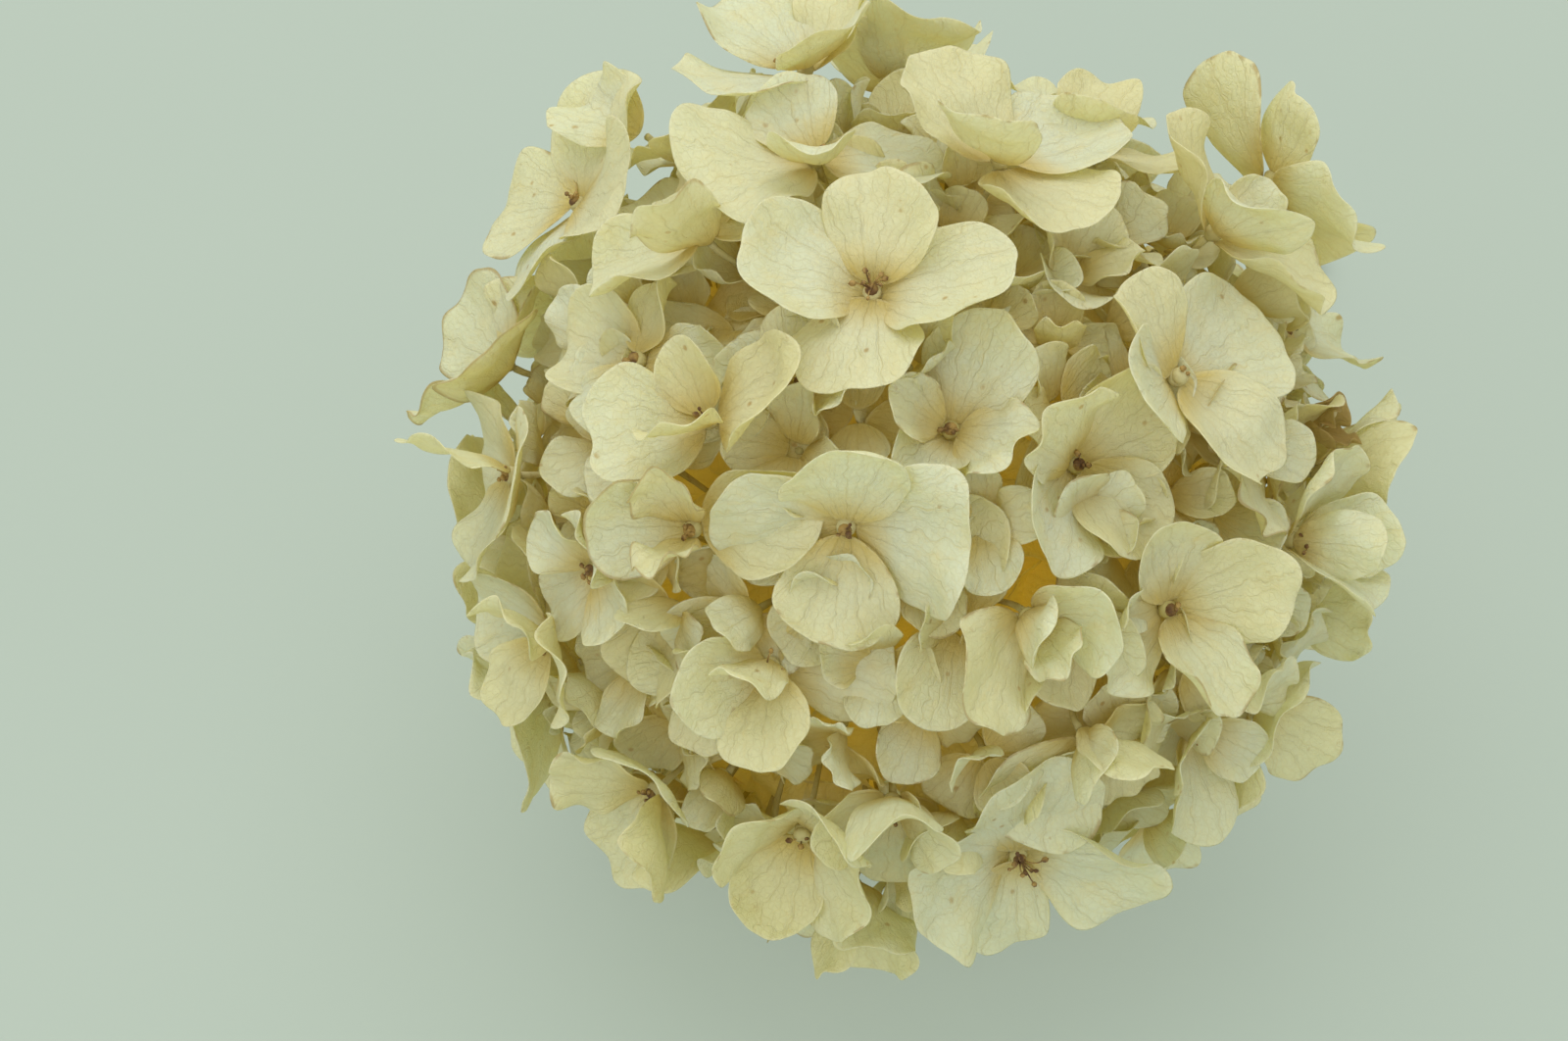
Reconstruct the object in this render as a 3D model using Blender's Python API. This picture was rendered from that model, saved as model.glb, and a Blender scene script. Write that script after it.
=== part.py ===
"""One dried mophead hydrangea, cut with its stem and laid down on a table.

Lengths are in metres and +Z is up. +Y runs along the stem, from the head to the cut end.
The origin lies on the table, under the middle of the whole piece.

The head is a ball of florets. Each floret is a small hub with four sepals around it, and it
sits on a thin pedicel. The pedicels of one side of the head meet in a fork, and a ray joins
each fork to the crown at the top of the stem. Florets low on the head rest on the table,
where their sepals are pressed flat, and so does the cut end of the stem.
"""

from math import cos, pi, radians, sin, sqrt

import bmesh
import bpy
from mathutils import Matrix, Vector
from mathutils.bvhtree import BVHTree

MM = 0.001
GAP = 0.3 * MM  # free space between any two pieces

# The head: the ellipsoid that the floret hubs lie on, and how high its lowest point is.
HEAD_WIDTH = 132 * MM
HEAD_LENGTH = 140 * MM
HEAD_HEIGHT = 124 * MM
HEAD_CLEARANCE = 6 * MM

# A floret: its hub, and sepals whose length comes from the floret's span below.
FLORET_SIZE = 1.07
HUB_RADIUS = 1.6 * MM
HUB_HEIGHT = 2.4 * MM
HUB_SIDES = 8
SEPALS = 4
SEPAL_BREADTH = 1.18  # breadth over length
SEPAL_FOLD = 0.32  # how much narrower a sepal is when it stands straight up
SEPAL_THICKNESS = 0.6 * MM
SEPAL_CUP = 0.12  # how far the margins rise, over the half breadth
# Sections along a sepal: how far out, and the share of the full breadth there.
SEPAL_SECTIONS = ((0.30, 0.74), (0.62, 1.0), (0.88, 0.78), (1.0, 0.42))
LOWEST_REACH = 5 * MM  # how deep below the table a sepal may point before it is pressed flat

# How a sepal makes room for its neighbours: it swings by so many degrees, or stays shorter.
SEPAL_NECK = (0.08, 0.3)
REACHES = (1.0, 0.9, 0.8, 0.7, 0.6, 0.5, 0.4, 0.3)
SWINGS = (0, 7, -7, 14, -14, 22, -22, 31, -31, 41, -41, 52, -52, 64)
SWING_COST = 1 / 108  # one degree of swing, as a share of the sepal's length
LOWEST_LIFT = -40
HIGHEST_LIFT = 80
STUNTED = 0.25

# How far from its middle a thing can touch others: in sepal lengths, then in metres.
SPREAD = 1.4
STALK_SPAN = 30 * MM
STEM_SPAN = 80 * MM

# Stem, rays and pedicels.
STEM_DIAMETER = 6.2 * MM
STEM_LENGTH = 155 * MM
STEM_SWAY = 6.5  # degrees off the +Y direction
STEM_BOW = 5 * MM
STEM_SIDES = 12
STEM_SECTIONS = 8
CROWN_BACK = 20 * MM  # the crown's place behind and below the head's middle
CROWN_DROP = 10 * MM
CROWN_RADIUS = 4.2 * MM
RAY_THICKNESS = 2.2 * MM
KNUCKLE_RADIUS = 2.2 * MM
PEDICEL_THICKNESS = 1.0 * MM
PEDICEL_BEND = 9 * MM  # the last stretch, which follows the floret's own axis

# Rays from the crown to the forks: azimuth (0 towards -Y, 90 towards +X), elevation, length.
RAYS = (
    (0, 12, 48 * MM),
    (58, 14, 40 * MM),
    (-58, 14, 40 * MM),
    (0, 64, 42 * MM),
    (135, 52, 34 * MM),
    (-125, 45, 34 * MM),
    (0, -38, 34 * MM),
)

# Florets, most open first: azimuth and elevation of the hub from the head's middle, how far
# it stands proud of the head in mm, turn about its axis, span in mm, how far the sepals lift,
# how much they curl, and where it faces if that isn't straight out.
FLORETS = (
    (87, 48, 5, -10, 45, 8, -8),
    (5, 72, 6, 8, 44, 8, -10),
    (41, -10, 3, -12, 43, 10, 0, 41, 6),
    (-92, 30, 11, -18, 46, 10, 0, -80, 36),
    (-125, 58, 13, 10, 46, 12, 10, -120, 62),
    (141, 38, 16, 0, 42, 8, 10, 152, 8),
    (14, 41, 2, 8, 42, 14, 25, 14, 26),
    (-19, 47, 2, 45, 40, 14, 10, -19, 50),
    (-72, 16, 7, 36, 44, 12, 0, -66, 26),
    (150, 78, 8, 12, 44, 14, 15, 150, 70),
    (-92, 74, 8, -45, 44, 12, 0, -90, 72),
    (13, -3, 3, -28, 42, 34, 20, 10, 0),
    (-48, 18, 5, 35, 42, 12, 0),
    (88, -14, 3, 35, 44, 16, 5, 82, -2),
    (127, 48, 8, 40, 42, 30, 0, 140, 34),
    (162, 57, 4, 20, 42, 16, 10),
    (-57, 61, 8, 0, 42, 18, 5),
    (-42, 45, 3, 30, 38, 20, 10),
    (-29, 6, 3, 10, 40, 14, 0),
    (-11, 34, 2, 20, 38, 24, 10),
    (60, 46, -1, 30, 40, 14, 0),
    (43, 29, 2, 20, 40, 32, 10, 46, 24),
    (66, 22, 1, 5, 40, 22, 10),
    (50, 9, 1, 50, 42, 18, 5),
    (113, 10, 3, 30, 42, 26, 0),
    (94, 15, 3, 60, 40, 36, 0),
    (-25, 20, 1, 70, 38, 18, 0),
    (6, 20, -1, 15, 40, 30, 0),
    (34, 55, -1, 60, 40, 22, 0),
    (-6, 57, -1, 15, 40, 24, 0),
    (96, 32, 0, 25, 40, 26, 0),
    (133, 20, 2, 10, 40, 22, 0),
    (71, -4, 0, 50, 40, 26, 0),
    (68, -25, 2, 10, 40, 12, 0),
    (19, -20, 2, 45, 40, 22, 0, 15, -25),
    (-9, -8, 2, 70, 38, 20, 0),
    (24, 2, 0, 0, 42, 30, 0),
    (-108, 42, 4, 60, 40, 20, 0),
    (-100, 4, 5, 25, 42, 12, 0),
    (-68, -10, 3, 50, 42, 14, 0),
    (-38, -16, 2, 15, 42, 12, 0),
    (-10, -36, 0, 30, 42, 8, 0),
    (40, -40, 0, 60, 40, 8, 0),
    (-150, 40, 5, 30, 44, 12, 0),
    (-130, 12, 4, 70, 42, 14, 0),
    (-176, 32, 4, 50, 42, 14, 0),
    (-60, -42, 0, 75, 42, 8, 0),
    (112, -16, 3, 45, 42, 14, 0),
    (100, -46, 0, 20, 42, 8, 0),
    (0, -72, 0, 40, 42, 2, 0),
    (-125, -28, 1, 10, 42, 12, 0),
    (-130, -62, 0, 45, 40, 4, 0),
)


def remove_everything():
    for item in list(bpy.data.objects):
        bpy.data.objects.remove(item)


def direction(azimuth, elevation):
    """A unit vector: azimuth 0 points to -Y and 90 to +X, elevation is above level."""
    a, e = radians(azimuth), radians(elevation)
    return Vector((sin(a) * cos(e), -cos(a) * cos(e), sin(e)))


def head_middle():
    return Vector((0, 0, HEAD_HEIGHT / 2 + HEAD_CLEARANCE))


def crown_place():
    return head_middle() + Vector((0, CROWN_BACK, -CROWN_DROP))


def material(name, colour, roughness):
    made = bpy.data.materials.new(name)
    made.use_nodes = True
    shader = made.node_tree.nodes["Principled BSDF"]
    shader.inputs["Base Color"].default_value = (*colour, 1)
    shader.inputs["Roughness"].default_value = roughness
    shader.inputs["Metallic"].default_value = 0
    return made


def finish(bm, name, finish_material, parent):
    """Turns a closed bmesh into a named object with its own material."""
    bmesh.ops.recalc_face_normals(bm, faces=bm.faces)
    mesh = bpy.data.meshes.new(name)
    bm.to_mesh(mesh)
    bm.free()
    made = bpy.data.objects.new(name, mesh)
    made.data.materials.append(finish_material)
    made.parent = parent
    bpy.context.collection.objects.link(made)
    return made


# ---- florets: places ----


class Floret:
    """One floret's place and shape, read from its row of the list."""

    def __init__(self, row):
        azimuth, elevation, proud, turn, span, lift, curl = row[:7]
        facing = row[7:] or (azimuth, elevation)
        out = direction(azimuth, elevation)
        half = Vector((HEAD_WIDTH, HEAD_LENGTH, HEAD_HEIGHT)) / 2
        reach = 1 / sqrt(sum((out[i] / half[i]) ** 2 for i in range(3)))
        self.hub = head_middle() + out * (reach + proud * MM)
        self.up = direction(*facing)
        level = Vector((cos(radians(facing[0])), sin(radians(facing[0])), 0))
        self.right = Matrix.Rotation(radians(turn), 3, self.up) @ level
        self.length = span * MM * FLORET_SIZE / 2 - HUB_RADIUS
        self.lift = lift
        self.curl = curl
        self.sepals = {}

    def axes(self, sepal):
        """The outward and sideways directions of one sepal."""
        outward = Matrix.Rotation(2 * pi * sepal / SEPALS, 3, self.up) @ self.right
        return outward, self.up.cross(outward)


def middle_line(length, lift, curl, along):
    """A point of a sepal's bent middle line, out and up from its root, and its tilt there."""
    start = radians(lift - curl / 2)
    tilt = start + radians(curl) * along
    if abs(curl) < 0.01:
        return length * along * cos(start), length * along * sin(start), tilt
    radius = length / radians(curl)
    return radius * (sin(tilt) - sin(start)), radius * (cos(start) - cos(tilt)), tilt


def sepal_section(floret, sepal, lift, reach, along, share, spare=0.0):
    """The six corners of one section of a sepal, as {(across, side): place}."""
    outward, across = floret.axes(sepal)
    length = floret.length * reach
    out, rise, tilt = middle_line(length, lift, floret.curl, along)
    level = HUB_HEIGHT / 4 * (1 if sepal % 2 else -1)
    middle = floret.hub + outward * (HUB_RADIUS + out) + floret.up * (level + rise)
    normal = floret.up * cos(tilt) - outward * sin(tilt)
    half = length * SEPAL_BREADTH / 2 * share * (1 - SEPAL_FOLD * sin(radians(lift)) ** 2)
    thick = SEPAL_THICKNESS / 2 + spare
    corners = {}
    for u in (-1, 0, 1):
        cup = normal * (SEPAL_CUP * half * abs(u))
        point = middle + across * (u * (half + spare)) + cup
        stand = normal * thick
        if point.z < SEPAL_THICKNESS / 2:
            point.z = SEPAL_THICKNESS / 2
            stand = Vector((0, 0, thick if normal.z > 0 else -thick))
        for side in (-1, 1):
            corners[u, side] = point + stand * side
    return corners


def lowest_of(floret, sepal, lift, reach):
    outward, across = floret.axes(sepal)
    out, rise, tilt = middle_line(floret.length * reach, lift, floret.curl, 1)
    return (floret.hub + outward * (HUB_RADIUS + out) + floret.up * rise).z


# ---- room: what a sepal may not touch ----

LOOP = ((-1, -1), (0, -1), (1, -1), (1, 1), (0, 1), (-1, 1))


def skin(rings):
    """A closed skin over rings of corners, as points and faces."""
    count = len(rings[0])
    points = [corner for ring in rings for corner in ring]
    faces = [tuple(range(count)), tuple(range(len(points) - count, len(points)))]
    for ring in range(len(rings) - 1):
        for i in range(count):
            j = (i + 1) % count
            low, high = ring * count, (ring + 1) * count
            faces.append((low + i, low + j, high + j, high + i))
    return BVHTree.FromPolygons(points, faces)


def sepal_skin(floret, sepal, lift, reach, spare):
    sections = (SEPAL_NECK,) + SEPAL_SECTIONS
    rings = []
    for along, share in sections:
        extra = spare / 4 if along < 0.2 else spare
        corners = sepal_section(floret, sepal, lift, reach, along, share, extra)
        rings.append([corners[key] for key in LOOP])
    return skin(rings)


def square_ring(centre, axis, half, turn_to):
    side = axis.cross(turn_to).normalized()
    other = axis.cross(side).normalized()
    return [centre + side * (a * half) + other * (b * half) for a, b in ((-1, -1), (1, -1), (1, 1), (-1, 1))]


def tube_skin(points, half):
    rings = []
    for i, point in enumerate(points):
        before, after = points[max(i - 1, 0)], points[min(i + 1, len(points) - 1)]
        axis = (after - before).normalized()
        helper = Vector((0, 0, 1)) if abs(axis.z) < 0.9 else Vector((1, 0, 0))
        rings.append(square_ring(point, axis, half, helper))
    return skin(rings)


def openings():
    """Ways to swing and shorten a sepal, the smallest change first."""
    ways = []
    for reach in REACHES:
        for swing in SWINGS:
            ways.append((abs(swing) * SWING_COST + (1 - reach), swing, reach))
    return [way[1:] for way in sorted(ways)]


def settle_sepals(florets, stalks):
    """Opens each sepal as far as its neighbours leave room for it."""
    ways = openings()
    placed = list(stalks)
    for floret in florets:
        back = floret.hub - floret.up * HUB_HEIGHT / 2
        front = floret.hub + floret.up * HUB_HEIGHT / 2
        placed.append((floret.hub, HUB_RADIUS, floret, tube_skin([back, front], HUB_RADIUS + GAP)))
    for floret in florets:
        near = [tree for centre, size, owner, tree in placed
                if owner is not floret and (centre - floret.hub).length < size + floret.length * SPREAD]
        sisters = []
        for sepal in (0, 2, 1, 3):
            chosen = None
            for swing, reach in ways:
                lift = floret.lift + swing
                if not LOWEST_LIFT <= lift <= HIGHEST_LIFT or lowest_of(floret, sepal, lift, reach) < -LOWEST_REACH:
                    continue
                close = sepal_skin(floret, sepal, lift, reach, GAP)
                if any(close.overlap(tree) for tree in near):
                    continue
                if any(close.overlap(tree) for tree in sisters):
                    continue
                chosen = lift, reach
                break
            if chosen is None:
                chosen = floret.lift, STUNTED
            floret.sepals[sepal] = chosen
            sisters.append(sepal_skin(floret, sepal, *chosen, GAP / 2))
        for tree in sisters:
            placed.append((floret.hub, floret.length * SPREAD, floret, tree))


# ---- florets: solids ----


def hub_solid():
    """A short prism in two layers, whose side faces the sepals grow from."""
    bm = bmesh.new()
    layer = HUB_HEIGHT / 2
    bmesh.ops.create_cone(bm, cap_ends=True, segments=HUB_SIDES, radius1=HUB_RADIUS, radius2=HUB_RADIUS, depth=layer)
    bmesh.ops.translate(bm, verts=bm.verts, vec=(0, 0, -layer / 2))
    top = max(bm.faces, key=lambda face: face.calc_center_median().z)
    made = bmesh.ops.extrude_discrete_faces(bm, faces=[top])["faces"]
    bmesh.ops.translate(bm, verts=made[0].verts, vec=(0, 0, layer))
    return bm


def root_faces(bm, sepal):
    """The two side faces of the hub that one sepal grows from."""
    angle = 2 * pi * sepal / SEPALS
    towards = Vector((cos(angle), sin(angle), 0))
    level = 1 if sepal % 2 else -1
    return [face for face in bm.faces
            if len(face.verts) == 4
            and face.calc_center_median().xy.normalized().dot(towards.xy) > cos(pi / HUB_SIDES) - 0.01
            and face.calc_center_median().z * level > 0]


def root_key(corner, sepal):
    """Which corner of a sepal's section a corner of the hub becomes."""
    angle = 2 * pi * sepal / SEPALS
    sideways = corner.dot(Vector((-sin(angle), cos(angle), 0)))
    u = 0 if abs(sideways) < HUB_RADIUS / 4 else (1 if sideways > 0 else -1)
    middle = HUB_HEIGHT / 4 * (1 if sepal % 2 else -1)
    return u, 1 if corner.z > middle else -1


def floret_solid(floret):
    """The hub with its four sepals, as one closed body in its place."""
    bm = hub_solid()
    roots = []
    for sepal in range(SEPALS):
        faces = root_faces(bm, sepal)
        corners = {vert for face in faces for vert in face.verts}
        roots.append((sepal, faces, {vert: root_key(vert.co, sepal) for vert in corners}))
    turn = Matrix((floret.right, floret.up.cross(floret.right), floret.up)).transposed()
    bmesh.ops.transform(bm, matrix=Matrix.Translation(floret.hub) @ turn.to_4x4(), verts=bm.verts)
    for sepal, faces, keys in roots:
        lift, reach = floret.sepals[sepal]
        for along, share in SEPAL_SECTIONS:
            section = sepal_section(floret, sepal, lift, reach, along, share)
            made = bmesh.ops.extrude_face_region(bm, geom=faces)["geom"]
            bmesh.ops.delete(bm, geom=faces, context="FACES")
            fresh = [item for item in made if isinstance(item, bmesh.types.BMVert)]
            old = {vert.co.copy().freeze(): key for vert, key in keys.items()}
            keys = {vert: old[vert.co.copy().freeze()] for vert in fresh}
            faces = [item for item in made if isinstance(item, bmesh.types.BMFace)]
            for vert, key in keys.items():
                vert.co = section[key]
    return bm


# ---- stalks ----


def forks():
    return [crown_place() + direction(azimuth, elevation) * length for azimuth, elevation, length in RAYS]


def pedicel_points(fork, floret):
    """From the middle of a fork to just behind a floret's hub."""
    end = floret.hub - floret.up * (HUB_HEIGHT / 2 + GAP)
    bend = end - floret.up * PEDICEL_BEND
    return [fork, bend, end]


def extrude_stalk(bm, face, points, half):
    """Draws one face out along points, with a square section."""
    for i, point in enumerate(points):
        before = points[i - 1] if i else face.calc_center_median()
        axis = (point - before).normalized()
        if i + 1 < len(points):
            axis = (axis + (points[i + 1] - point).normalized()).normalized()
        centre = face.calc_center_median()
        made = bmesh.ops.extrude_discrete_faces(bm, faces=[face])
        face = made["faces"][0]
        for vert in face.verts:
            spoke = vert.co - centre
            spoke -= axis * spoke.dot(axis)
            vert.co = point + spoke.normalized() * (half * sqrt(2))


def knuckle(bm, centre):
    """A small round swelling, whose faces the stalks grow from."""
    bmesh.ops.create_cube(bm, size=1)
    bmesh.ops.subdivide_edges(bm, edges=bm.edges, cuts=2, use_grid_fill=True)
    for vert in bm.verts:
        vert.co = centre + vert.co.normalized() * KNUCKLE_RADIUS


def branch_solid(fork, florets):
    """A fork with its ray to the crown and the pedicels of its florets."""
    bm = bmesh.new()
    knuckle(bm, fork)
    free = list(bm.faces)

    def pick(towards):
        best = max(free, key=lambda face: (face.calc_center_median() - fork).normalized().dot(towards))
        free.remove(best)
        return best

    away = (fork - crown_place()).normalized()
    ray_face = pick(-away)
    chosen = [(floret, pick((pedicel_points(fork, floret)[1] - fork).normalized())) for floret in florets]
    start = crown_place() + away * (CROWN_RADIUS + GAP)
    near = fork - away * KNUCKLE_RADIUS * 2
    extrude_stalk(bm, ray_face, [near, start], RAY_THICKNESS / 2)
    for floret, face in chosen:
        extrude_stalk(bm, face, pedicel_points(fork, floret)[1:], PEDICEL_THICKNESS / 2)
    return bm


def stem_points():
    """The stem's middle line, from the crown down to the cut end on the table."""
    crown = crown_place()
    drop = crown.z - STEM_DIAMETER / 2
    run = sqrt(STEM_LENGTH ** 2 - drop ** 2)
    sway = radians(STEM_SWAY)
    end = Vector((crown.x + run * sin(sway), crown.y + run * cos(sway), STEM_DIAMETER / 2))
    points = []
    for i in range(STEM_SECTIONS + 1):
        along = i / STEM_SECTIONS
        bow = Vector((0, 0, -STEM_BOW * 4 * along * (1 - along)))
        points.append(crown.lerp(end, along) + bow)
    return points


def stem_solid():
    """The stem with the swollen crown at its top."""
    points = stem_points()
    axis = (points[1] - points[0]).normalized()
    half = STEM_DIAMETER / 2
    rings = []
    for angle in (-65, -30, 5, 38):
        offset = sin(radians(angle)) * CROWN_RADIUS
        rings.append((points[0] + axis * offset, cos(radians(angle)) * CROWN_RADIUS, axis))
    for i in range(1, len(points)):
        after = points[min(i + 1, len(points) - 1)]
        rings.append((points[i], half, (after - points[i - 1]).normalized()))
    bm = bmesh.new()
    bmesh.ops.create_cone(bm, cap_ends=True, segments=STEM_SIDES, radius1=1, radius2=1, depth=1)
    ends = sorted((face for face in bm.faces if len(face.verts) == STEM_SIDES),
                  key=lambda face: face.calc_center_median().z)

    def set_ring(face, ring):
        centre, radius, along = ring
        turn = Vector((0, 0, 1)).rotation_difference(along).to_matrix()
        for vert in face.verts:
            vert.co = centre + turn @ Vector((vert.co.x, vert.co.y, 0)) * radius

    top = ends[1]
    corners = {vert: vert.co.copy() for vert in top.verts}
    set_ring(ends[0], rings[0])
    for i, ring in enumerate(rings[1:]):
        if i:
            unit = [corners[vert] for vert in top.verts]
            top = bmesh.ops.extrude_discrete_faces(bm, faces=[top])["faces"][0]
            corners = dict(zip(top.verts, unit))
            for vert, corner in corners.items():
                vert.co = corner
        set_ring(top, ring)
    return bm


# ---- the whole ----


def build():
    remove_everything()
    petal = material("sepal", (0.60, 0.58, 0.36), 0.75)
    stalk = material("pedicel", (0.42, 0.36, 0.14), 0.7)
    bark = material("stem", (0.27, 0.18, 0.09), 0.8)
    plant = bpy.data.objects.new("plant", None)
    bpy.context.collection.objects.link(plant)

    florets = [Floret(row) for row in FLORETS]
    bunches = [[] for _ in RAYS]
    places = forks()
    for floret in florets:
        nearest = min(range(len(places)), key=lambda i: (places[i] - floret.hub).length)
        bunches[nearest].append(floret)

    stalks = []
    half = RAY_THICKNESS / 2 + GAP
    for place, bunch in zip(places, bunches):
        line = [crown_place(), place]
        stalks.append((crown_place().lerp(place, 0.5), STALK_SPAN, None, tube_skin(line, half)))
        for floret in bunch:
            points = pedicel_points(place, floret)
            tree = tube_skin(points, PEDICEL_THICKNESS / 2 + GAP / 2)
            stalks.append(((points[0] + points[-1]) / 2, STALK_SPAN, None, tree))
    line = stem_points()
    stalks.append((crown_place(), STEM_SPAN, None, tube_skin(line, CROWN_RADIUS + GAP)))
    settle_sepals(florets, stalks)

    made = [finish(stem_solid(), "stem", bark, plant)]
    for i, (place, bunch) in enumerate(zip(places, bunches)):
        made.append(finish(branch_solid(place, bunch), f"branch_{i + 1}", stalk, plant))
    for i, floret in enumerate(florets):
        made.append(finish(floret_solid(floret), f"floret_{i + 1:02d}", petal, plant))

    low = [min(vert.co[k] for item in made for vert in item.data.vertices) for k in range(3)]
    high = [max(vert.co[k] for item in made for vert in item.data.vertices) for k in range(3)]
    plant.location = (-(low[0] + high[0]) / 2, -(low[1] + high[1]) / 2, -low[2])


build()
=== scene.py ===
"""The looks of a dried mophead hydrangea, lying on a table with its cut stem behind it.

Lengths are in metres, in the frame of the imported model. The layout repeats the one that the
solids were made from, so every floret, pedicel and ray goes where its solid is. The spaces
between the main florets are filled by smaller, deeper ones, which open as far as the solids
around them leave room.
"""

from math import asin, atan2, cos, degrees, exp, pi, radians, sin, sqrt
from random import Random

import bmesh
import bpy
from mathutils import Matrix, Vector, kdtree, noise
from mathutils.bvhtree import BVHTree


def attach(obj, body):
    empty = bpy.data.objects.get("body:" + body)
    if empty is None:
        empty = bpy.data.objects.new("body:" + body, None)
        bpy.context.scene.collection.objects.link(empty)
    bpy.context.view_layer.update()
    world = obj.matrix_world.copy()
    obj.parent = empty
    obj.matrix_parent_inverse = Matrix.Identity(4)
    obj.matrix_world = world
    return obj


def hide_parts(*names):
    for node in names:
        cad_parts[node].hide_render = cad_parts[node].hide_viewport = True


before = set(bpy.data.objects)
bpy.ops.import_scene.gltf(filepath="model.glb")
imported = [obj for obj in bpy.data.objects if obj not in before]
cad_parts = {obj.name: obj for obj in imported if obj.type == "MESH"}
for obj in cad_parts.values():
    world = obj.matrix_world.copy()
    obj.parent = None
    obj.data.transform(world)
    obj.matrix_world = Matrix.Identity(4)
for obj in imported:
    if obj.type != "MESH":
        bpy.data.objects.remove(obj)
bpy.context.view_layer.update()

MM = 0.001
BODY = "root"

# ---- layout, as the solids have it ----

GAP = 0.3 * MM
HEAD_WIDTH = 132 * MM
HEAD_LENGTH = 140 * MM
HEAD_HEIGHT = 124 * MM
HEAD_CLEARANCE = 6 * MM
FLORET_SIZE = 1.07
HUB_RADIUS = 1.6 * MM
HUB_HEIGHT = 2.4 * MM
SEPALS = 4
SEPAL_BREADTH = 1.18
SEPAL_FOLD = 0.32
SEPAL_THICKNESS = 0.6 * MM
SEPAL_CUP = 0.12
SEPAL_SECTIONS = ((0.30, 0.74), (0.62, 1.0), (0.88, 0.78), (1.0, 0.42))
LOWEST_REACH = 5 * MM
STEM_DIAMETER = 6.2 * MM
STEM_LENGTH = 155 * MM
STEM_SWAY = 6.5
STEM_BOW = 5 * MM
STEM_SECTIONS = 8
CROWN_BACK = 20 * MM
CROWN_DROP = 10 * MM
CROWN_RADIUS = 4.2 * MM
RAY_THICKNESS = 2.2 * MM
KNUCKLE_RADIUS = 2.2 * MM
PEDICEL_THICKNESS = 1.0 * MM
PEDICEL_BEND = 9 * MM

# How a sepal makes room for its neighbours: it swings by so many degrees, or stays shorter.
SEPAL_NECK = (0.08, 0.3)
REACHES = (1.0, 0.9, 0.8, 0.7, 0.6, 0.5, 0.4, 0.3)
SWINGS = (0, 7, -7, 14, -14, 22, -22, 31, -31, 41, -41, 52, -52, 64)
SWING_COST = 1 / 108  # one degree of swing, as a share of the sepal's length
LOWEST_LIFT = -40
HIGHEST_LIFT = 80
STUNTED = 0.25
SPREAD = 1.4  # how far from its hub a floret can touch others, in sepal lengths

RAYS = (
    (0, 12, 48 * MM),
    (58, 14, 40 * MM),
    (-58, 14, 40 * MM),
    (0, 64, 42 * MM),
    (135, 52, 34 * MM),
    (-125, 45, 34 * MM),
    (0, -38, 34 * MM),
)

# Florets, most open first: azimuth and elevation of the hub from the head's middle, how far
# it stands proud of the head in mm, turn about its axis, span in mm, how far the sepals lift,
# how much they curl, and where it faces if that isn't straight out.
FLORETS = (
    (87, 48, 5, -10, 45, 8, -8),
    (5, 72, 6, 8, 44, 8, -10),
    (41, -10, 3, -12, 43, 10, 0, 41, 6),
    (-92, 30, 11, -18, 46, 10, 0, -80, 36),
    (-125, 58, 13, 10, 46, 12, 10, -120, 62),
    (141, 38, 16, 0, 42, 8, 10, 152, 8),
    (14, 41, 2, 8, 42, 14, 25, 14, 26),
    (-19, 47, 2, 45, 40, 14, 10, -19, 50),
    (-72, 16, 7, 36, 44, 12, 0, -66, 26),
    (150, 78, 8, 12, 44, 14, 15, 150, 70),
    (-92, 74, 8, -45, 44, 12, 0, -90, 72),
    (13, -3, 3, -28, 42, 34, 20, 10, 0),
    (-48, 18, 5, 35, 42, 12, 0),
    (88, -14, 3, 35, 44, 16, 5, 82, -2),
    (127, 48, 8, 40, 42, 30, 0, 140, 34),
    (162, 57, 4, 20, 42, 16, 10),
    (-57, 61, 8, 0, 42, 18, 5),
    (-42, 45, 3, 30, 38, 20, 10),
    (-29, 6, 3, 10, 40, 14, 0),
    (-11, 34, 2, 20, 38, 24, 10),
    (60, 46, -1, 30, 40, 14, 0),
    (43, 29, 2, 20, 40, 32, 10, 46, 24),
    (66, 22, 1, 5, 40, 22, 10),
    (50, 9, 1, 50, 42, 18, 5),
    (113, 10, 3, 30, 42, 26, 0),
    (94, 15, 3, 60, 40, 36, 0),
    (-25, 20, 1, 70, 38, 18, 0),
    (6, 20, -1, 15, 40, 30, 0),
    (34, 55, -1, 60, 40, 22, 0),
    (-6, 57, -1, 15, 40, 24, 0),
    (96, 32, 0, 25, 40, 26, 0),
    (133, 20, 2, 10, 40, 22, 0),
    (71, -4, 0, 50, 40, 26, 0),
    (68, -25, 2, 10, 40, 12, 0),
    (19, -20, 2, 45, 40, 22, 0, 15, -25),
    (-9, -8, 2, 70, 38, 20, 0),
    (24, 2, 0, 0, 42, 30, 0),
    (-108, 42, 4, 60, 40, 20, 0),
    (-100, 4, 5, 25, 42, 12, 0),
    (-68, -10, 3, 50, 42, 14, 0),
    (-38, -16, 2, 15, 42, 12, 0),
    (-10, -36, 0, 30, 42, 8, 0),
    (40, -40, 0, 60, 40, 8, 0),
    (-150, 40, 5, 30, 44, 12, 0),
    (-130, 12, 4, 70, 42, 14, 0),
    (-176, 32, 4, 50, 42, 14, 0),
    (-60, -42, 0, 75, 42, 8, 0),
    (112, -16, 3, 45, 42, 14, 0),
    (100, -46, 0, 20, 42, 8, 0),
    (0, -72, 0, 40, 42, 2, 0),
    (-125, -28, 1, 10, 42, 12, 0),
    (-130, -62, 0, 45, 40, 4, 0),
)


def direction(azimuth, elevation):
    """A unit vector: azimuth 0 points to -Y and 90 to +X, elevation is above level."""
    a, e = radians(azimuth), radians(elevation)
    return Vector((sin(a) * cos(e), -cos(a) * cos(e), sin(e)))


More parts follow.
